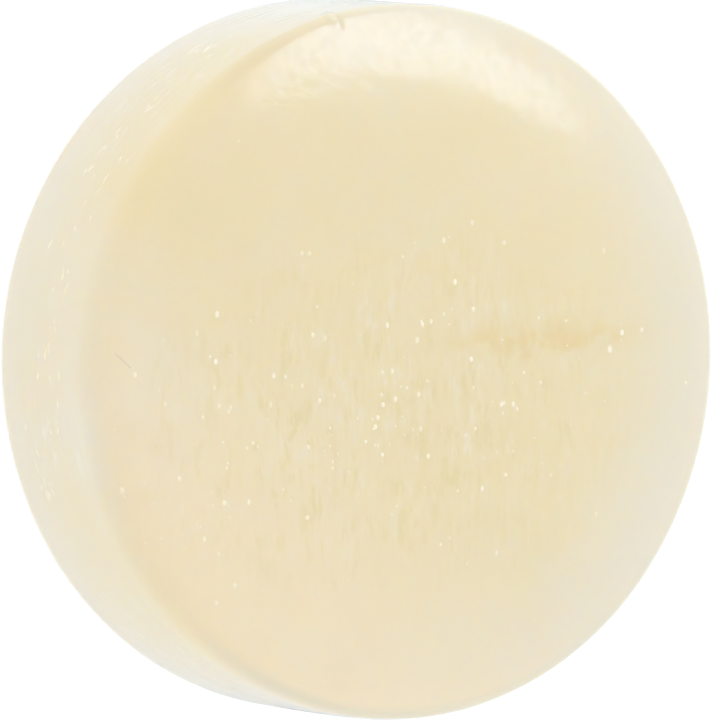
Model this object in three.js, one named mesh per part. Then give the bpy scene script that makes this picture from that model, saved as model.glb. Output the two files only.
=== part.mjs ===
// A round puck of hard shaving soap in a tight clear shrink film, lying on its back face.
// Millimetres, +Z up. The origin is the centre of the back face, and +Z points out of the
// lathering face. Every piece is a solid of revolution about Z.
import * as THREE from 'three';

// Driving dimensions, taken over the film.
const DIAMETER = 70;          // at the back edge, the widest place
const HEIGHT = 21;            // back face to the middle of the lathering face
const TAPER = 1.1;            // how much smaller the radius is at the front edge
const CROWN_FALL = 2.1;       // drop of the lathering face from its middle to its edge
const CROWN_POWER = 5;        // a high power keeps the middle flat and bends the outer ring
const BACK_ROUND = 1.6;       // radius of the back edge
const FRONT_ROUND = 1.8;      // radius of the front edge
const SEAM_HEIGHT = 9.4;      // where the two sheets of film meet, up the rim

// The film is drawn thicker than the real sheet, and every piece keeps clear of its neighbours.
const FILM = 0.3;
const CLEARANCE = 0.3;

// How finely the curves are divided.
const SEGMENTS = 64;
const ARC_STEPS = 4;
const RIM_STEPS = 3;
const CROWN_STEPS = 7;
const CROWN_BUNCHING = 1.6;   // above 1, the steps bunch together near the front edge, where it bends

const BACK_RADIUS = DIAMETER / 2;
const FRONT_RADIUS = BACK_RADIUS - TAPER;
const EDGE_HEIGHT = HEIGHT - CROWN_FALL;
const RIM_HEIGHT = EDGE_HEIGHT - BACK_ROUND;
const RIM_LEAN = Math.atan2(TAPER, RIM_HEIGHT);

const SOAP_COLOR = 0xebddb9;
const FILM_COLOR = 0xf4f2ea;

const point = (radius, height) => new THREE.Vector2(radius, height);

// The rim is a straight taper from above the back edge to the front edge.
function rimPoint(height) {
  return point(BACK_RADIUS - TAPER * (height - BACK_ROUND) / RIM_HEIGHT, height);
}

// The lathering face: flat in the middle, falling away to its edge.
function crownPoint(radius) {
  return point(radius, HEIGHT - CROWN_FALL * (radius / FRONT_RADIUS) ** CROWN_POWER);
}

function arc(centreRadius, centreHeight, radius, from, to) {
  const points = [];
  for (let i = 0; i <= ARC_STEPS; i++) {
    const angle = from + (to - from) * i / ARC_STEPS;
    points.push(point(centreRadius + radius * Math.cos(angle), centreHeight + radius * Math.sin(angle)));
  }
  return points;
}

// The rim between two heights, both included.
function rim(from, to) {
  const points = [];
  for (let i = 0; i <= RIM_STEPS; i++) points.push(rimPoint(from + (to - from) * i / RIM_STEPS));
  return points;
}

// Outer outline of the back half: from the middle of the back face out and up to the seam.
function backOutline(top) {
  return [
    point(0, 0),
    ...arc(BACK_RADIUS - BACK_ROUND, BACK_ROUND, BACK_ROUND, -Math.PI / 2, 0),
    ...rim(BACK_ROUND, top).slice(1),
  ];
}

// Outer outline of the front half: from the seam up and in to the middle of the lathering face.
// The front edge is an arc that touches the rim below it and the crown beside it.
function frontOutline(bottom) {
  const touch = (FRONT_RADIUS - FRONT_ROUND / 2) / FRONT_RADIUS;
  const crownSlope = Math.atan(CROWN_FALL * CROWN_POWER / FRONT_RADIUS * touch ** (CROWN_POWER - 1));
  const rimNormal = point(Math.cos(RIM_LEAN), Math.sin(RIM_LEAN));
  const crownNormal = point(Math.sin(crownSlope), Math.cos(crownSlope));
  const inward = FRONT_ROUND / (1 + rimNormal.dot(crownNormal));
  const centre = point(FRONT_RADIUS, EDGE_HEIGHT).sub(rimNormal.clone().add(crownNormal).multiplyScalar(inward));
  const edge = arc(centre.x, centre.y, FRONT_ROUND, RIM_LEAN, Math.PI / 2 - crownSlope);
  const crownStart = edge[edge.length - 1].x;
  const crown = [];
  for (let i = 1; i <= CROWN_STEPS; i++) {
    crown.push(crownPoint(crownStart * (1 - (i / CROWN_STEPS) ** CROWN_BUNCHING)));
  }
  return [...rim(bottom, edge[0].y).slice(0, -1), ...edge, ...crown];
}

// The same outline moved inward along its normals. Points on the axis stay on the axis.
function inset(outline, distance) {
  return outline.map((p, i) => {
    const before = outline[Math.max(i - 1, 0)];
    const after = outline[Math.min(i + 1, outline.length - 1)];
    const along = after.clone().sub(before).normalize();
    const moved = point(p.x - distance * along.y, p.y + distance * along.x);
    if (p.x === 0) moved.set(0, p.y + distance * Math.sign(along.x));
    return moved;
  });
}

function revolve(name, outline, material) {
  const geometry = new THREE.LatheGeometry(outline, SEGMENTS);
  geometry.rotateX(Math.PI / 2);
  const mesh = new THREE.Mesh(geometry, material);
  mesh.name = name;
  return mesh;
}

const soap = new THREE.MeshStandardMaterial({ color: SOAP_COLOR, roughness: 0.32, metalness: 0 });
const film = () => new THREE.MeshStandardMaterial({
  color: FILM_COLOR, roughness: 0.06, metalness: 0, transparent: true, opacity: 0.15,
});

// The soap lies inside the film, clear of it all round.
function soapPuck() {
  const outline = [...backOutline(SEAM_HEIGHT), ...frontOutline(SEAM_HEIGHT).slice(1)];
  return revolve('soap_puck', inset(outline, FILM + CLEARANCE), soap);
}

// Each sheet is a shallow open cup. The two stop short of each other at the seam.
function filmBack() {
  const outer = backOutline(SEAM_HEIGHT - CLEARANCE / 2);
  return revolve('film_back', [...outer, ...inset(outer, FILM).reverse()], film());
}

function filmFront() {
  const outer = frontOutline(SEAM_HEIGHT + CLEARANCE / 2);
  return revolve('film_front', [...inset(outer, FILM).reverse(), ...outer], film());
}

const puck = new THREE.Group();
puck.name = 'shaving_soap_puck';
puck.add(soapPuck(), filmBack(), filmFront());

export default puck;
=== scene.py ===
"""A round puck of translucent shaving soap in clear shrink film, lying on its back face."""

import math
import random

import bpy
import numpy as np
from mathutils import Matrix, Vector


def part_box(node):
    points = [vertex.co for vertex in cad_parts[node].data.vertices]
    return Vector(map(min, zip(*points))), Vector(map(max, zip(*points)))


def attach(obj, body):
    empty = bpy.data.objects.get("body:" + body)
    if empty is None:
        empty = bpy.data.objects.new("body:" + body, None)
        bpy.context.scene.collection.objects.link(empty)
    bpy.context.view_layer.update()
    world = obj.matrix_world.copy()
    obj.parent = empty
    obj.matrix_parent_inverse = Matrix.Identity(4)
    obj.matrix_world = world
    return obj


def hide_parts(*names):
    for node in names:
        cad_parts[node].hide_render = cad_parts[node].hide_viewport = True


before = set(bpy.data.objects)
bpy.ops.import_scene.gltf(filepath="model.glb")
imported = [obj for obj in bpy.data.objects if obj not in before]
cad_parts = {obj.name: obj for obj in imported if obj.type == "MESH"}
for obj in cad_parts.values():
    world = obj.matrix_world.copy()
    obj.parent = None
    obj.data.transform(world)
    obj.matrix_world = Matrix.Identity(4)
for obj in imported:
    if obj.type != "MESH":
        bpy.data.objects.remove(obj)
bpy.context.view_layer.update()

MM = 0.001

# ---------------------------------------------------------------- sizes, from the frame

_, FILM_BACK_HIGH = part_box("film_back")
FILM_FRONT_LOW, FILM_FRONT_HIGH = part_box("film_front")
BACK_RADIUS = FILM_BACK_HIGH.x
HEIGHT = FILM_FRONT_HIGH.z
SEAM_HEIGHT = (FILM_BACK_HIGH.z + FILM_FRONT_LOW.z) / 2

# The outline's own numbers, as in the design.
TAPER = 1.1 * MM
CROWN_FALL = 2.1 * MM
CROWN_POWER = 5
BACK_ROUND = 1.6 * MM
FRONT_RADIUS = BACK_RADIUS - TAPER
EDGE_HEIGHT = HEIGHT - CROWN_FALL

# The front edge is crisp all round, except at the left, where it is worn round.
FRONT_ROUND_CRISP = 0.9 * MM
FRONT_ROUND_SOFT = 5.2 * MM
SOFT_SIDE = math.radians(191)
SOFT_SPREAD = 4.1

# The film clings to the soap, with flat bubbles of air between them.
FILM_THICKNESS = 0.04 * MM
FILM_STAND_OFF = 0.06 * MM
BUBBLE_RISE = 0.035 * MM

# Close to the back, which lies flat, every unevenness fades out over this height.
FLAT_BACK_FADE = 1.5 * MM


# ---------------------------------------------------------------- the camera

CAMERA_TURN = math.radians(29.5)
CAMERA_RISE = math.radians(3.85)
CAMERA_ROLL = math.radians(-1.06)
CAMERA_DISTANCE = 347 * MM
CAMERA_LENS = 179
CAMERA_SENSOR = 36
CAMERA_REACH = 20
AIM_LEFT = 1.19 * MM
AIM_DOWN = 0.2 * MM


def make_camera():
    """The face is seen from its left side and very slightly from above its middle."""
    level = math.cos(CAMERA_RISE)
    back = Vector((-math.sin(CAMERA_TURN) * level, math.sin(CAMERA_RISE), math.cos(CAMERA_TURN) * level))
    right = Vector((0, 1, 0)).cross(back).normalized()
    up = back.cross(right)
    middle = Vector((0, 0, EDGE_HEIGHT / 2))
    place = middle + back * CAMERA_DISTANCE
    aim = middle - right * AIM_LEFT - up * AIM_DOWN
    look = (place - aim).normalized()
    right = up.cross(look).normalized()
    up = look.cross(right)
    turned = Matrix((right, up, look)).transposed() @ Matrix.Rotation(CAMERA_ROLL, 3, "Z")
    data = bpy.data.cameras.new("camera")
    data.lens = CAMERA_LENS
    data.sensor_width = CAMERA_SENSOR
    data.clip_end = CAMERA_REACH
    camera = bpy.data.objects.new("camera", data)
    camera.matrix_world = Matrix.Translation(place) @ turned.to_4x4()
    bpy.context.scene.collection.objects.link(camera)
    bpy.context.scene.camera = camera


# ---------------------------------------------------------------- the outline

# Rows of the mesh along each stretch of the outline.
ROWS_BACK = 24
ROWS_BACK_ROUND = 10
ROWS_RIM = 56
ROWS_EDGE = 18
ROWS_CROWN = 112


def crown_height(radius):
    return HEIGHT - CROWN_FALL * (radius / FRONT_RADIUS) ** CROWN_POWER


def edge_arc(front_round, tries=40):
    """Points of the front edge: an arc that touches the rim below it and the crown beside it."""
    lean = math.atan2(TAPER, EDGE_HEIGHT - BACK_ROUND)
    rim_normal = np.array((math.cos(lean), math.sin(lean)))
    rim_reach = rim_normal @ np.array((FRONT_RADIUS, EDGE_HEIGHT))
    edge_slope = CROWN_FALL * CROWN_POWER / FRONT_RADIUS
    touch = FRONT_RADIUS - front_round / 2
    for i in range(tries):
        slope = math.atan(edge_slope * (touch / FRONT_RADIUS) ** (CROWN_POWER - 1))
        crown_normal = np.array((math.sin(slope), math.cos(slope)))
        crown_reach = crown_normal @ np.array((touch, crown_height(touch)))
        reaches = np.array((rim_reach - front_round, crown_reach - front_round))
        middle = np.linalg.solve(np.array((rim_normal, crown_normal)), reaches)
        touch = middle[0] + front_round * math.sin(slope)
    turns = np.linspace(lean, math.pi / 2 - slope, ROWS_EDGE + 1)
    return [(middle[0] + front_round * math.cos(a), middle[1] + front_round * math.sin(a)) for a in turns]


def outline(front_round):
    """Points (radius, height) from the middle of the back, round the rim, to the middle of the face."""
    points = []
    centre = BACK_RADIUS - BACK_ROUND
    for i in range(ROWS_BACK):
        points.append((centre * i / ROWS_BACK, 0.0))
    for i in range(ROWS_BACK_ROUND + 1):
        a = -math.pi / 2 + math.pi / 2 * i / ROWS_BACK_ROUND
        points.append((centre + BACK_ROUND * math.cos(a), BACK_ROUND + BACK_ROUND * math.sin(a)))
    edge = edge_arc(front_round)
    for i in range(1, ROWS_RIM):
        z = BACK_ROUND + (edge[0][1] - BACK_ROUND) * i / ROWS_RIM
        points.append((BACK_RADIUS - TAPER * (z - BACK_ROUND) / (EDGE_HEIGHT - BACK_ROUND), z))
    points += edge
    for i in range(1, ROWS_CROWN + 1):
        r = edge[-1][0] * (1 - i / ROWS_CROWN)
        points.append((r, crown_height(r)))
    return np.array(points)


def normals_of(points):
    along = np.gradient(points, axis=0)
    along /= np.linalg.norm(along, axis=1)[:, None]
    out = np.stack([along[:, 1], -along[:, 0]], 1)
    out[0] = (0, -1)
    out[-1] = (0, 1)
    return out


CRISP = outline(FRONT_ROUND_CRISP)
SOFT = outline(FRONT_ROUND_SOFT)
CRISP_NORMALS = normals_of(CRISP)
SOFT_NORMALS = normals_of(SOFT)
ROWS = len(CRISP)
RIM_START = ROWS_BACK + ROWS_BACK_ROUND + 1


def softness(angle):
    """How much of the soft outline, against the crisp one, the puck has at an angle round it."""
    return (0.5 + 0.5 * np.cos(angle - SOFT_SIDE)) ** SOFT_SPREAD


# A small gather of film nicks the front edge. The mesh's columns lie closer together there, out to
# PLEAT_REACH degrees on both sides of it.
PLEAT_ANGLE = math.radians(103.5)
PLEAT_REACH = 2.4
PLEAT_COLUMNS = 33
EVEN_COLUMNS = 360


def angles_round():
    """Angles of the mesh's columns."""
    even = np.arange(EVEN_COLUMNS) * 2 * math.pi / EVEN_COLUMNS
    near = PLEAT_ANGLE + np.radians(np.linspace(-PLEAT_REACH, PLEAT_REACH, PLEAT_COLUMNS))
    far_off = np.abs(np.angle(np.exp(1j * (even - PLEAT_ANGLE)))) > math.radians(PLEAT_REACH + 0.2)
    return np.sort(np.concatenate([even[far_off], near]))


ANGLES = angles_round()
AROUND = len(ANGLES)
SOFTNESS = softness(ANGLES)


def swept(rows):
    """Places and outward normals of the given outline rows swept round Z, one row after another."""
    r, z = (np.outer(CRISP[rows, i], 1 - SOFTNESS) + np.outer(SOFT[rows, i], SOFTNESS) for i in (0, 1))
    nr, nz = (np.outer(CRISP_NORMALS[rows, i], 1 - SOFTNESS) + np.outer(SOFT_NORMALS[rows, i], SOFTNESS)
              for i in (0, 1))
    c, s = np.cos(ANGLES)[None, :], np.sin(ANGLES)[None, :]
    places = np.stack([r * c, r * s, z], 2).reshape(-1, 3)
    out = np.stack([nr * c, nr * s, nz], 2).reshape(-1, 3)
    return places, out / np.linalg.norm(out, axis=1)[:, None]


# ---------------------------------------------------------------- unevenness of the soap and the film

NOISE_GRID = 64

# Lumps of the cast soap's unevenness (size across, rise, seed).
SOAP_WAVES = [(15 * MM, 0.06 * MM, 1), (6 * MM, 0.025 * MM, 2)]

NOTCH_DEPTH = 0.13 * MM
NOTCH_WIDTH = 0.13 * MM
FOLD_RISE = 0.26 * MM
FOLD_WIDTH = 0.5 * MM
FOLD_OFFSET = 0.75 * MM

RIPPLE_RISE = 0.05 * MM
RIPPLE_PITCH = 1.5 * MM
RIPPLE_WANDER = 0.8 * MM
# Slack stretches of the rim: the angle of each, and its reach from there to both sides in radians.
SLACK_STRETCHES = [(math.radians(122), -0.65, 0.6), (math.radians(252), -0.45, 0.4)]
SLACK_ELSEWHERE = 0.25


def smooth_noise(places, scale, seed):
    """Value noise on places in metres, about -1 to 1, with lumps about scale across."""
    grid = np.random.RandomState(seed).rand(NOISE_GRID, NOISE_GRID, NOISE_GRID) * 2 - 1
    q = places / scale + (NOISE_GRID + 1) / 2
    base = np.floor(q).astype(int)
    t = q - base
    t = t * t * (3 - 2 * t)
    out = np.zeros(len(places))
    for corner in np.ndindex(2, 2, 2):
        weight = np.prod(np.abs(1 - np.array(corner) - t), axis=1)
        cell = (base + corner) % NOISE_GRID
        out += weight * grid[cell[:, 0], cell[:, 1], cell[:, 2]]
    return out


def bump_between(values, low, high):
    """1 inside low to high, falling smoothly to 0 over a quarter of the span at each end."""
    soft = (high - low) / 4
    t = np.clip((values - low) / soft, 0, 1) * np.clip((high - values) / soft, 0, 1)
    return t * t * (3 - 2 * t)


def angle_from(places, centre):
    return np.angle(np.exp(1j * (np.arctan2(places[:, 1], places[:, 0]) - centre)))


def off_the_back(places):
    """0 on the back, which lies flat, and 1 from a little above it."""
    return np.clip(places[:, 2] / FLAT_BACK_FADE, 0, 1)


def slow_waves(places):
    """The unevenness of the cast soap, which the film follows."""
    return sum(smooth_noise(places, size, seed) * rise for size, rise, seed in SOAP_WAVES)


def pleat(places):
    """A gather in the film: a small fold stands up beside a notch that tails off onto the face."""
    across = angle_from(places, PLEAT_ANGLE) * FRONT_RADIUS
    radius = np.hypot(places[:, 0], places[:, 1])
    outermost = FRONT_RADIUS + 1.2 * MM
    tail = bump_between(radius, FRONT_RADIUS - 1.7 * MM, outermost)
    tail *= bump_between(places[:, 2], EDGE_HEIGHT - 1.2 * MM, EDGE_HEIGHT + 1.4 * MM)
    lip = bump_between(radius, FRONT_RADIUS - 0.9 * MM, outermost)
    lip *= bump_between(places[:, 2], EDGE_HEIGHT - 1.6 * MM, EDGE_HEIGHT + 1.0 * MM)
    notch = -NOTCH_DEPTH * np.exp(-(across / NOTCH_WIDTH) ** 2) * tail
    fold = FOLD_RISE * np.exp(-((across - FOLD_OFFSET) / FOLD_WIDTH) ** 2) * lip
    return notch + fold


def ripples(places):
    """Fine ripples of slack film along the rim, strongest at the top left and the bottom left."""
    wavy_z = places[:, 2] + smooth_noise(places, 5 * MM, 5) * RIPPLE_WANDER
    patches = np.clip(smooth_noise(places, 4 * MM, 6) + 0.35, 0, 1)
    waves = np.sin(wavy_z * 2 * math.pi / RIPPLE_PITCH) * patches
    stretches = [bump_between(angle_from(places, a), low, high) for a, low, high in SLACK_STRETCHES]
    slackness = np.clip(SLACK_ELSEWHERE + sum(stretches), 0, 1)
    on_rim = bump_between(places[:, 2], 1.2 * MM, EDGE_HEIGHT - 1.5 * MM)
    return RIPPLE_RISE * (0.5 + waves) * on_rim * slackness


def film_shape(places):
    """How far the film stands out of the plain outline."""
    return (slow_waves(places) + pleat(places) + ripples(places)) * off_the_back(places)


def soap_shape(places):
    """How far the soap stands out of the plain outline: it fills part of the pleat, not the ripples."""
    pleat_share = 0.6
    return (slow_waves(places) + pleat(places) * pleat_share) * off_the_back(places)


# ---------------------------------------------------------------- meshes of revolution

def grid_faces(first, rows, flip=False):
    faces = []
    for i in range(rows - 1):
        a, b = first + i * AROUND, first + (i + 1) * AROUND
        for j in range(AROUND):
            k = (j + 1) % AROUND
            quad = (a + j, a + k, b + k, b + j)
            faces.append(quad[::-1] if flip else quad)
    return faces


def make_object(name, places, faces, materials, slots=None):
    mesh = bpy.data.meshes.new(name)
    mesh.from_pydata([tuple(p) for p in places], [], faces)
    for m in materials:
        mesh.materials.append(m)
    if slots is not None:
        mesh.polygons.foreach_set("material_index", slots)
    mesh.polygons.foreach_set("use_smooth", [True] * len(mesh.polygons))
    mesh.update()
    mesh.set_sharp_from_angle(angle=math.radians(60))
    thing = bpy.data.objects.new(name, mesh)
    bpy.context.scene.collection.objects.link(thing)
    return thing


# ---------------------------------------------------------------- material helpers

class Nodes:
    """A material's node tree, with short ways to add and join nodes."""

    def __init__(self, name):
        self.material = bpy.data.materials.new(name)
        self.material.use_nodes = True
        self.tree = self.material.node_tree
        self.tree.nodes.clear()
        self.out = self.add("ShaderNodeOutputMaterial")

    def add(self, kind, inputs=None, **settings):
        n = self.tree.nodes.new(kind)
        for key, value in settings.items():
            setattr(n, key, value)
        for key, value in (inputs or {}).items():
            self.give(n.inputs[key], value)
        return n

    def give(self, socket, value):
        if isinstance(value, bpy.types.NodeSocket):
            self.tree.links.new(value, socket)
        else:
            socket.default_value = value

    def math(self, operation, a, b=0.0):
        return self.add("ShaderNodeMath", {0: a, 1: b}, operation=operation).outputs[0]

    def times(self, a, b):
        return self.math("MULTIPLY", a, b)

    def plus(self, a, b):
        return self.math("ADD", a, b)

    def minus(self, a, b):
        return self.math("SUBTRACT", a, b)

    def map(self, value, from_range, to_range, kind="LINEAR"):
        sockets = {"Value": value, "From Min": from_range[0], "From Max": from_range[1],
                   "To Min": to_range[0], "To Max": to_range[1]}
        return self.add("ShaderNodeMapRange", sockets, interpolation_type=kind).outputs["Result"]

    def ramp(self, value, low, high, kind="SMOOTHSTEP"):
        """0 at low, 1 at high. It also falls, when low is above high."""
        if low < high:
            return self.map(value, (low, high), (0.0, 1.0), kind)
        return self.map(value, (high, low), (1.0, 0.0), kind)

    def vector_math(self, operation, a, b, output="Vector"):
        return self.add("ShaderNodeVectorMath", {0: a, 1: b}, operation=operation).outputs[output]

    def millimetres(self):
        place = self.add("ShaderNodeTexCoord").outputs["Object"]
        return self.vector_math("MULTIPLY", place, (1 / MM, 1 / MM, 1 / MM))

    def length(self, x, y):
        joined = self.add("ShaderNodeCombineXYZ", {"X": x, "Y": y}).outputs[0]
        return self.vector_math("DISTANCE", joined, (0, 0, 0), "Value")

    def noise(self, place, per_mm, detail=2.0, roughness=0.5):
        """Noise with per_mm lumps a millimetre, a number or one for each axis."""
        if not isinstance(per_mm, tuple):
            per_mm = (per_mm, per_mm, per_mm)
        scaled = self.vector_math("MULTIPLY", place, per_mm)
        sockets = {"Vector": scaled, "Scale": 1.0, "Detail": detail, "Roughness": roughness}
        return self.add("ShaderNodeTexNoise", sockets).outputs["Fac"]

    def clouds(self, place, per_mm, detail):
        """Rough noise about 0."""
        return self.minus(self.noise(place, per_mm, detail=detail, roughness=0.6), 0.5)

    def near(self, place, centre, reach):
        """1 at centre, falling smoothly to 0 at reach millimetres away."""
        return self.ramp(self.vector_math("DISTANCE", place, centre, "Value"), reach, 0.0)

    def mix(self, factor, a, b):
        n = self.add("ShaderNodeMix", {0: factor}, data_type="RGBA")
        self.give(n.inputs[6], a)
        self.give(n.inputs[7], b)
        return n.outputs[2]

    def surface(self, shader):
        self.give(self.out.inputs["Surface"], shader.outputs[0])
        return self.material


# ---------------------------------------------------------------- the soap's material
# Every place and length in the materials is in millimetres.

DEEP = (0.841, 0.729, 0.466, 1)
PALE_TONE_AND_SHEEN = (0.82, 0.765, 0.63, 1)
ROSE_AND_PAINTED_LIGHT = (0.912, 0.782, 0.56, 1)
GREY_PAINTED_SHADE = (0.79, 0.737, 0.59, 1)
TAN = (0.82, 0.66, 0.355, 1)
STREAK_DARK = (0.80, 0.69, 0.40, 1)
STREAK_LIGHT = (0.86, 0.775, 0.59, 1)
CLOUD_ROSE = (0.86, 0.735, 0.515, 1)
WHITISH_HAZE_AND_SHEEN = (0.92, 0.885, 0.80, 1)
EDGE_SHADE_GREY = (0.75, 0.71, 0.58, 1)
EDGE_SHADE_TAN = (0.76, 0.645, 0.42, 1)
SCRATCH = (0.55, 0.48, 0.35, 1)

# Patches (centre, reach, change) where the soap is paler, or deeper when the change is negative. The
# first paints light onto the left of the face, which the lamps leave in shade. The second and third paint
# shade along the top-left crease and the rim below it. The fourth and fifth make the lower-left rim
# deeper. The sixth paints shade that damps the bright right of the face.
PALENESS_AND_SHADE_PATCHES = [
    ((-30, -4, 19), 14, 0.45),
    ((-27, 21, 18), 14, -0.7),
    ((-18, 28, 13), 13, -0.55),
    ((-32, -13, 12), 12, -0.35),
    ((-24, -24, 13), 14, -0.55),
    ((30, 2, 19), 14, -0.3),
]

# Patches (centre, reach) of the rim with whitish wisps: partly haze of slack film, partly painted sheen
# of its ripples.
WISP_AND_SHEEN_PATCHES = [((-18, 29, 9), 20), ((-19, -28, 9), 17), ((-35, -6, 11), 9)]

# The film stands off the soap here, at the top of the rim, which is painted whitish here as a painted
# reflection of the bright surroundings.
TOP_RIM_SHEEN_CENTRE = (-5, 34, 8)
TOP_RIM_SHEEN_REACH = 12

# The front edge's line of painted shade: a ring where the crown meets the rim.
SHADE_RING_RADIUS = 33.5
SHADE_RING_HEIGHT = 18.5

# The scratch: its middle, its direction, and half its length and width, each with a soft end.
SCRATCH_X, SCRATCH_Y = -31.0, 1.85
SCRATCH_ALONG = (0.68, -0.73)
SCRATCH_LENGTH = (1.1, 0.8)
SCRATCH_WIDTH = (0.09, 0.02)


def paleness_and_painted_light(n, place, x, y, z):
    """Paler towards the edge, where the soap is thin, partly as its own tone and partly as painted light;
    paler down the rim towards the back as painted reflection of the bright floor; and paler or deeper in
    cloudy patches and in patches of painted light and shade.
    """
    radius = n.length(n.plus(x, 2.5), n.minus(y, 2.5))
    # Painted light, partly: paler towards the edge, where the thin soap's own tone is paler and the
    # bright surroundings lighten it.
    total = n.times(n.ramp(radius, 20, 38), 0.8)
    # Painted reflection: paler down the rim towards the back, where it mirrors the bright floor.
    total = n.plus(total, n.times(n.ramp(z, 16.0, 3.0, "LINEAR"), 0.2))
    total = n.plus(total, n.times(n.ramp(z, 6.0, 0.0), 0.35))
    total = n.plus(total, n.times(n.clouds(place, 0.13, 4.0), 0.7))
    total = n.plus(total, n.times(n.clouds(place, 0.5, 3.0), 0.6))
    # Painted light on the left of the face and painted shade along the top-left crease come from these
    # patches.
    for centre, reach, change in PALENESS_AND_SHADE_PATCHES:
        total = n.plus(total, n.times(n.near(place, centre, reach), change))
    return n.math("MAXIMUM", n.math("MINIMUM", total, 1.0), 0.0)


def streak_zone(n, x, y):
    """1 over the middle of the face, fading out towards its edges."""
    across = n.math("DIVIDE", n.plus(x, 3.0), 30.0)
    up = n.math("DIVIDE", n.plus(y, 4.0), 20.0)
    return n.ramp(n.length(across, up), 1.15, 0.35)


def smear_strength(n, place, x, y, z):
    """A faint blotchy smear from the middle of the face to its right edge."""
    wander = n.times(n.clouds(place, 0.35, 4.0), 6.0)
    across = n.math("DIVIDE", n.plus(n.minus(y, 2.0), wander), 2.1)
    along = n.math("DIVIDE", n.minus(x, 13.0), 13.0)
    shape = n.times(n.ramp(n.length(along, across), 1.15, 0.2), n.ramp(z, 15.0, 18.0))
    return n.times(shape, n.ramp(n.noise(place, 0.7, detail=3.0), 0.3, 0.65))


def scratch_line(n, x, y, z):
    """A short fine scratch on the left of the face."""
    off_x, off_y = n.minus(x, SCRATCH_X), n.minus(y, SCRATCH_Y)
    c, s = SCRATCH_ALONG
    along = n.plus(n.times(off_x, c), n.times(off_y, s))
    across = n.plus(n.times(off_x, -s), n.times(off_y, c))
    line = n.times(n.ramp(n.math("ABSOLUTE", across), *SCRATCH_WIDTH),
                   n.ramp(n.math("ABSOLUTE", along), *SCRATCH_LENGTH))
    return n.times(line, n.ramp(z, 14.0, 16.0))


def front_edge_shade(n, x, y, z):
    """Painted shade line: 1 on the front edge, except at the left, where it is worn round."""
    off = n.length(n.minus(n.length(x, y), SHADE_RING_RADIUS), n.minus(z, SHADE_RING_HEIGHT))
    return n.times(n.ramp(off, 1.5, 0.3), n.ramp(x, -27.0, -14.0))


def rim_wisps_and_sheen(n, place, z):
    """Whitish wisps round the rim, where slack film stands off the soap: partly its haze, partly painted
    sheen on its ripples.
    """
    lines = n.ramp(n.noise(place, (0.45, 0.45, 1.3), detail=5.0, roughness=0.7), 0.53, 0.66)
    first, second, third = (n.near(place, centre, reach) for centre, reach in WISP_AND_SHEEN_PATCHES)
    patches = n.math("MAXIMUM", n.math("MAXIMUM", first, second), third)
    return n.times(n.times(lines, patches), n.ramp(z, 18.0, 15.0))


def cloudy_color_with_painted_light(n, place, x, y, z):
    """Deep ivory in the middle, pale at the edge, rosy at the lower left, partly as painted light on the
    shaded left side, and greyish at the right, as painted shade.
    """
    color = n.mix(paleness_and_painted_light(n, place, x, y, z), DEEP, PALE_TONE_AND_SHEEN)
    # Painted light: the face's left side, which the lamps leave in shade, is lifted towards a paler rose,
    # partly the soap's own rosy tone.
    from_left = n.plus(n.times(x, -0.69), n.times(y, -0.73))
    on_face = n.ramp(z, 16.5, 19.0)
    color = n.mix(n.times(n.ramp(from_left, 4.0, 31.0), n.times(on_face, 0.75)), color, ROSE_AND_PAINTED_LIGHT)
    # Painted shade: the right of the face and rim is greyed to damp its bright edge.
    color = n.mix(n.times(n.ramp(x, 16.0, 34.0), 0.7), color, GREY_PAINTED_SHADE)
    rose = n.ramp(n.noise(place, 0.16, detail=3.0, roughness=0.6), 0.5, 0.75)
    return n.mix(n.times(rose, 0.45), color, CLOUD_ROSE)


def streaked_color(n, place, color, streaks, middle):
    """Short streaks along Y and small blotches across the middle of the face."""
    patchy = n.ramp(n.noise(place, (0.35, 0.25, 0.3), detail=3.0), 0.36, 0.62)
    strength = n.times(n.times(middle, n.plus(n.times(patchy, 0.8), 0.2)), 0.8)
    color = n.mix(n.times(n.ramp(streaks, 0.5, 0.36), strength), color, STREAK_DARK)
    return n.mix(n.times(n.ramp(streaks, 0.52, 0.68), strength), color, STREAK_LIGHT)


def marked_color_with_painted_light(n, place, color, x, y, z):
    """The smear, the whitish wisps and painted reflection of the rim, the painted shade line of the front
    edge and the scratch, over the soap's color.
    """
    color = n.mix(n.times(smear_strength(n, place, x, y, z), 0.9), color, TAN)
    # Painted reflection: the top of the rim is painted whitish, with whitish wisps that are partly film
    # haze and partly painted sheen.
    top_rim_sheen = n.times(n.near(place, TOP_RIM_SHEEN_CENTRE, TOP_RIM_SHEEN_REACH), 0.6)
    color = n.mix(n.math("MAXIMUM", n.times(rim_wisps_and_sheen(n, place, z), 0.6), top_rim_sheen), color, WHITISH_HAZE_AND_SHEEN)
    # Painted shade: a darker greyish-tan line along the front edge, where the round-over mirrors little
    # light.
    edge = n.mix(n.near(place, (-16, 30, 18), 17), EDGE_SHADE_GREY, EDGE_SHADE_TAN)
    color = n.mix(n.times(front_edge_shade(n, x, y, z), 0.7), color, edge)
    return n.mix(n.times(scratch_line(n, x, y, z), 0.35), color, SCRATCH)


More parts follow.
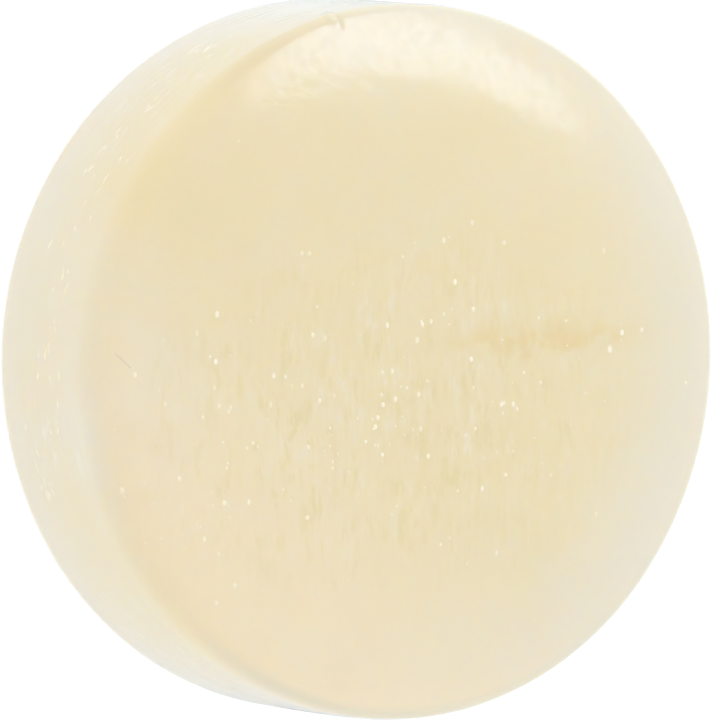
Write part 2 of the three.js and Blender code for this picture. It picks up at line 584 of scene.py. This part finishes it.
def soap_material():
    n = Nodes("soap")
    place = n.millimetres()
    x, y, z = n.add("ShaderNodeSeparateXYZ", {0: place}).outputs
    streaks = n.noise(place, (1.25, 0.42, 0.5), detail=2.5, roughness=0.6)
    middle = streak_zone(n, x, y)
    color = cloudy_color_with_painted_light(n, place, x, y, z)
    color = streaked_color(n, place, color, streaks, middle)
    color = marked_color_with_painted_light(n, place, color, x, y, z)
    grain = n.noise(place, 2.6, detail=3.0, roughness=0.6)
    height = n.plus(n.times(n.times(streaks, middle), 0.5), n.times(grain, 0.5))
    bump = n.add("ShaderNodeBump", {"Strength": 0.12, "Distance": 0.1 * MM, "Height": height})
    return n.surface(n.add("ShaderNodeBsdfPrincipled", {
        "Base Color": color,
        "Roughness": n.map(grain, (0.0, 1.0), (0.36, 0.54)),
        "Subsurface Weight": 1.0,
        "Subsurface Radius": (1.0, 0.8, 0.5),
        "Subsurface Scale": 2 * MM,
        "Specular IOR Level": 0.1,
        "Normal": bump.outputs[0],
    }))


# ---------------------------------------------------------------- the film's material

CLEAR = (0.995, 0.995, 0.99, 1)
CLEAR_EDGE = (0.80, 0.81, 0.84, 1)
GLOSS = (0.77, 0.79, 0.79, 1)
FILM_IOR = 1.5

# Where the film puckers most, at the upper left of the face.
PUCKER_CENTRE = (-12, 26, 20)
PUCKER_REACH = 9
PUCKER_SHARE = 1.1


def film_material():
    """Clear film: it shows what is behind it, mirrors the lights, and looks thicker seen edge on."""
    n = Nodes("film")
    place = n.millimetres()
    fine = n.noise(place, 1.1, detail=3.0, roughness=0.6)
    broad = n.noise(place, 0.22, detail=2.0)
    patches = n.ramp(n.noise(place, 0.1), 0.55, 0.75)
    puckers = n.math("MAXIMUM", n.near(place, PUCKER_CENTRE, PUCKER_REACH), patches)
    height = n.plus(n.times(fine, n.times(puckers, PUCKER_SHARE)), broad)
    bump = n.add("ShaderNodeBump", {"Strength": 0.3, "Distance": 0.2 * MM, "Height": height}).outputs[0]
    facing = n.add("ShaderNodeLayerWeight", {"Blend": 0.5}).outputs["Facing"]
    tint = n.mix(n.ramp(facing, 0.895, 0.975), CLEAR, CLEAR_EDGE)
    clear = n.add("ShaderNodeBsdfTransparent", {"Color": tint})
    roughness = n.map(fine, (0.3, 0.7), (0.1, 0.2))
    gloss = n.add("ShaderNodeBsdfGlossy", {"Color": GLOSS, "Roughness": roughness, "Normal": bump})
    fresnel = n.add("ShaderNodeFresnel", {"IOR": FILM_IOR, "Normal": bump}).outputs[0]
    outside = n.minus(1.0, n.add("ShaderNodeNewGeometry").outputs["Backfacing"])
    share = n.times(fresnel, outside)
    return n.surface(n.add("ShaderNodeMixShader", {0: share, 1: clear.outputs[0], 2: gloss.outputs[0]}))


def film_inside_material():
    """The film's inner side is wetted by the soap, so it doesn't mirror."""
    n = Nodes("film_inside")
    haze = n.noise(n.millimetres(), 0.2, detail=3.0)
    shade = n.map(haze, (0.0, 1.0), (0.985, 1.0))
    return n.surface(n.add("ShaderNodeBsdfTransparent", {"Color": shade}))


# ---------------------------------------------------------------- the soap

def make_soap():
    inset = FILM_THICKNESS + FILM_STAND_OFF
    rows = np.arange(1, ROWS - 1)
    places, out = swept(rows)
    places = places + out * (soap_shape(places) - inset)[:, None]
    faces = grid_faces(0, len(rows))
    bottom = len(places)
    places = np.vstack([places, (0, 0, inset), (0, 0, HEIGHT - inset)])
    last = (len(rows) - 1) * AROUND
    for j in range(AROUND):
        k = (j + 1) % AROUND
        faces.append((bottom, k, j))
        faces.append((bottom + 1, last + j, last + k))
    soap = make_object("soap", places, faces, [soap_material()])
    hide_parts("soap_puck")
    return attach(soap, "root")


# ---------------------------------------------------------------- the film

def make_film(name, stands_for, rows, front, materials):
    """One sheet of film: a thin closed cup whose open edge is its last or first row."""
    places, out = swept(rows)
    shape = film_shape(places)
    outer = places + out * shape[:, None]
    inner = places + out * (shape - FILM_THICKNESS)[:, None]
    side = 1 if front else -1
    pole = np.array((0, 0, HEIGHT if front else 0.0))
    all_places = np.vstack([outer, inner, pole, pole - (0, 0, side * FILM_THICKNESS)])
    n = len(rows)
    faces = grid_faces(0, n) + grid_faces(n * AROUND, n, flip=True)
    slots = [0] * ((n - 1) * AROUND) + [1] * ((n - 1) * AROUND)
    edge = 0 if front else (n - 1) * AROUND
    cap = (n - 1) * AROUND if front else 0
    for j in range(AROUND):
        k = (j + 1) % AROUND
        lip = (edge + j, n * AROUND + edge + j, n * AROUND + edge + k, edge + k)
        outer_cap = (2 * n * AROUND, cap + j, cap + k)
        inner_cap = (2 * n * AROUND + 1, n * AROUND + cap + k, n * AROUND + cap + j)
        faces += [f[::side] for f in (lip, outer_cap, inner_cap)]
        slots += [1, 0, 1]
    film = make_object(name, all_places, faces, materials, slots)
    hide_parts(stands_for)
    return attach(film, "root")


def make_films():
    materials = [film_material(), film_inside_material()]
    seam = int(np.argmax(CRISP[:, 1] > SEAM_HEIGHT))
    make_film("front_film", "film_front", np.arange(seam, ROWS - 1), True, materials)
    make_film("back_film", "film_back", np.arange(1, seam + 1), False, materials)


# ---------------------------------------------------------------- air bubbles under the film
# Places and sizes in these lists are in millimetres, and angles in degrees.

# Painted glints: the bubbles' colours, dim to bright, stand in for the light their air reflects.
BUBBLE_GLINT_DIM = (0.90, 0.795, 0.56, 1)
BUBBLE_GLINT_BRIGHT = (0.98, 0.90, 0.69, 1)
BUBBLE_RINGS = 4
BUBBLE_SIDES = 12

# The biggest bubbles on the face (x, y, radius).
BIG_BUBBLES = [
    (5, 5, 0.2), (-11, 3, 0.19), (-5, -3.5, 0.2), (-5, -0.5, 0.22), (-1, -6, 0.19), (22, 2, 0.24),
    (20.5, 0.5, 0.26), (-13, -7, 0.18), (20, 10, 0.18), (-30, 0.5, 0.16), (-31, -10, 0.22),
]
# Loose swarms of small ones (count, x, y, spread along x, spread along y).
SWARMS = [(105, -3, -3, 10, 7), (60, -25, -9, 5.5, 8), (34, 8, -1, 12, 10)]
SWARM_REACH = 33
SWARM_SMALLEST, SWARM_RANGE = 0.08, 0.13
BUBBLE_STRETCH = (0.9, 1.7)

# Clusters of slivers on the rim (count, angle, spread of the angle, height, spread of the height).
SLIVER_CLUSTERS = [
    (30, 168, 14, 10.6, 1.3),
    (9, 118, 2.2, 9.6, 0.8),
    (8, 195, 3, 5.5, 1.2),
    (12, 145, 9, 11.0, 2.0),
    (16, 238, 11, 8.0, 3.0),
]
SLIVER_LOWEST, SLIVER_HIGHEST = 3.0, 16.0
SLIVER_WIDTH = (0.1, 0.2)
SLIVER_STRETCH = (1.2, 4.0)
SLIVER_TILT = 0.35


def bubble_glint_material():
    n = Nodes("bubble")
    # Painted glints: each bubble is coloured a dim to bright cream in place of the light its air
    # reflects.
    tone = n.ramp(n.noise(n.millimetres(), 0.8, detail=2.0), 0.3, 0.7)
    color = n.mix(tone, BUBBLE_GLINT_DIM, BUBBLE_GLINT_BRIGHT)
    return n.surface(n.add("ShaderNodeBsdfPrincipled", {"Base Color": color, "Roughness": 0.3}))


def surface_spot(angle, radius=None, height=None):
    """Place and outward direction on the soap, by radius on the face or by height on the rim."""
    soft = softness(angle)
    line = (CRISP * (1 - soft) + SOFT * soft)[RIM_START:]
    normals = (CRISP_NORMALS * (1 - soft) + SOFT_NORMALS * soft)[RIM_START:]
    rows = np.arange(len(line))
    if radius is None:
        row = np.interp(height, line[:, 1], rows)
    else:
        row = np.interp(-radius, -line[:, 0], rows)
    r, z = (np.interp(row, rows, line[:, i]) for i in (0, 1))
    nr, nz = (np.interp(row, rows, normals[:, i]) for i in (0, 1))
    out = np.array((nr * math.cos(angle), nr * math.sin(angle), nz))
    out /= np.linalg.norm(out)
    place = np.array((r * math.cos(angle), r * math.sin(angle), z))
    lift = slow_waves(place[None, :])[0] - FILM_THICKNESS - FILM_STAND_OFF
    return place + out * lift, out


def bubble(centre, out, along, width, length):
    """A small flat lens of air lying on the soap, its long way along, as points and faces."""
    along = along - out * (along @ out)
    along /= np.linalg.norm(along)
    side = np.cross(along, out)
    points = [centre - out * BUBBLE_RISE]
    for i in range(1, BUBBLE_RINGS):
        a = -math.pi / 2 + math.pi * i / BUBBLE_RINGS
        for j in range(BUBBLE_SIDES):
            b = 2 * math.pi * j / BUBBLE_SIDES
            flat = side * (width * math.cos(b)) + along * (length * math.sin(b))
            points.append(centre + flat * math.cos(a) + out * (BUBBLE_RISE * math.sin(a)))
    points.append(centre + out * BUBBLE_RISE)
    faces = []
    for j in range(BUBBLE_SIDES):
        k = (j + 1) % BUBBLE_SIDES
        faces.append((0, 1 + k, 1 + j))
        for i in range(BUBBLE_RINGS - 2):
            a, b = 1 + i * BUBBLE_SIDES, 1 + (i + 1) * BUBBLE_SIDES
            faces.append((a + j, a + k, b + k, b + j))
        top = 1 + (BUBBLE_RINGS - 2) * BUBBLE_SIDES
        faces.append((len(points) - 1, top + j, top + k))
    return points, faces


def face_bubbles():
    """Round bubbles under the film on the face: loose swarms and a few big ones."""
    rng = random.Random(11)
    spots = list(BIG_BUBBLES)
    for count, x, y, wide, high in SWARMS:
        for i in range(count):
            spot = (rng.gauss(x, wide), rng.gauss(y, high))
            if math.hypot(*spot) < SWARM_REACH:
                spots.append((*spot, SWARM_SMALLEST + SWARM_RANGE * rng.random() ** 2))
    upright = np.array((0.0, 1.0, 0.0))
    found = []
    for x, y, size in spots:
        centre, out = surface_spot(math.atan2(y, x), radius=math.hypot(x, y) * MM)
        length = size * rng.uniform(*BUBBLE_STRETCH)
        found.append(bubble(centre, out, upright, size * MM, length * MM))
    return found


def rim_slivers():
    """Long thin bubbles on the rim, most of them along the seam at the left, where the film is slack."""
    rng = random.Random(7)
    found = []
    for count, angle, spread, height, rise in SLIVER_CLUSTERS:
        for i in range(count):
            a = math.radians(rng.gauss(angle, spread))
            z = min(max(rng.gauss(height, rise), SLIVER_LOWEST), SLIVER_HIGHEST)
            centre, out = surface_spot(a, height=z * MM)
            along = np.array((-math.sin(a), math.cos(a), rng.gauss(0, SLIVER_TILT)))
            width = rng.uniform(*SLIVER_WIDTH) * MM
            found.append(bubble(centre, out, along, width, width * rng.uniform(*SLIVER_STRETCH)))
    return found


def make_bubbles():
    points, faces = [], []
    for more, quads in face_bubbles() + rim_slivers():
        faces += [tuple(v + len(points) for v in q) for q in quads]
        points += more
    bubbles = make_object("air_bubbles", points, faces, [bubble_glint_material()])
    # Air takes no light from the soap round it.
    bubbles.visible_shadow = False
    bubbles.visible_diffuse = False
    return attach(bubbles, "root")


# ---------------------------------------------------------------- the studio

FLOOR_HALF = 3.0
FLOOR_DROP = 0.1 * MM
FLOOR_GREY = (0.35, 0.35, 0.35, 1)
FLOOR_GLOW = 0.75

BOX_TOWARD = (0.485, 0.483, 0.731)
BOX_UPWARD = (0.134, 0.818, -0.56)
BOX_DISTANCE = 0.7
BOX_SIZE = (0.355, 0.4)
BOX_RADIANCE = 4.4
BOX_COLOR = (0.87, 1.02, 1.42)
# The soft box is brightest at one side of its sheet and dims along this direction.
BOX_FADE_ALONG = (0.456, -0.251, 0)
BOX_FADE_FROM, BOX_FADE_TO = 0.065, 0.2
BOX_DIMMEST = 0.06

SKY_LOW = (1.05, 1.05, 1.05, 1)
SKY_HIGH = (0.84, 0.84, 0.84, 1)
SKY_HIGH_AT = 0.8


def make_floor():
    corners = [(-1, -1), (1, -1), (1, 1), (-1, 1)]
    mesh = bpy.data.meshes.new("floor")
    mesh.from_pydata([(x * FLOOR_HALF, y * FLOOR_HALF, 0) for x, y in corners], [], [(0, 1, 2, 3)])
    floor = bpy.data.objects.new("floor", mesh)
    floor.location.z = -FLOOR_DROP
    n = Nodes("floor")
    mesh.materials.append(n.surface(n.add("ShaderNodeBsdfPrincipled", {
        "Base Color": FLOOR_GREY, "Roughness": 0.6, "Specular IOR Level": 0.2,
        "Emission Color": (1, 1, 1, 1), "Emission Strength": FLOOR_GLOW})))
    bpy.context.scene.collection.objects.link(floor)


def fade_to_one_corner(data):
    """The light's strength across its sheet."""
    data.use_nodes = True
    nodes, links = data.node_tree.nodes, data.node_tree.links
    across = nodes.new("ShaderNodeVectorMath")
    across.operation = "DOT_PRODUCT"
    across.inputs[1].default_value = BOX_FADE_ALONG
    links.new(nodes.new("ShaderNodeNewGeometry").outputs["Parametric"], across.inputs[0])
    fade = nodes.new("ShaderNodeMapRange")
    fade.interpolation_type = "SMOOTHSTEP"
    fade.inputs["From Min"].default_value = BOX_FADE_FROM
    fade.inputs["From Max"].default_value = BOX_FADE_TO
    fade.inputs["To Min"].default_value = 1.0
    fade.inputs["To Max"].default_value = BOX_DIMMEST
    links.new(across.outputs["Value"], fade.inputs["Value"])
    links.new(fade.outputs["Result"], nodes["Emission"].inputs["Strength"])


def make_soft_box():
    """A soft box that faces the puck's face from the upper right."""
    data = bpy.data.lights.new("overhead_box", "AREA")
    data.shape = "RECTANGLE"
    data.size, data.size_y = BOX_SIZE
    data.energy = BOX_RADIANCE * math.pi * BOX_SIZE[0] * BOX_SIZE[1]
    data.color = BOX_COLOR
    fade_to_one_corner(data)
    light = bpy.data.objects.new("overhead_box", data)
    out = Vector(BOX_TOWARD).normalized()
    side = Vector(BOX_UPWARD)
    side = (side - out * side.dot(out)).normalized()
    axes = Matrix((side, out.cross(side), out)).transposed().to_4x4()
    light.matrix_world = Matrix.Translation(Vector((0, 0, HEIGHT)) + out * BOX_DISTANCE) @ axes
    bpy.context.scene.collection.objects.link(light)


def make_world():
    """A pale studio, brightest low down and dimmer overhead."""
    world = bpy.data.worlds.new("studio")
    bpy.context.scene.world = world
    world.use_nodes = True
    tree = world.node_tree
    place = tree.nodes.new("ShaderNodeTexCoord")
    split = tree.nodes.new("ShaderNodeSeparateXYZ")
    ramp = tree.nodes.new("ShaderNodeValToRGB")
    low, high = ramp.color_ramp.elements
    low.position, low.color = 0.0, SKY_LOW
    high.position, high.color = SKY_HIGH_AT, SKY_HIGH
    tree.links.new(place.outputs["Generated"], split.inputs[0])
    tree.links.new(split.outputs["Z"], ramp.inputs[0])
    tree.links.new(ramp.outputs[0], tree.nodes["Background"].inputs["Color"])
    tree.nodes["Background"].inputs["Strength"].default_value = 1.0


make_camera()
make_soap()
make_films()
make_bubbles()
make_floor()
make_world()
make_soft_box()
bpy.context.scene.view_settings.view_transform = "Standard"
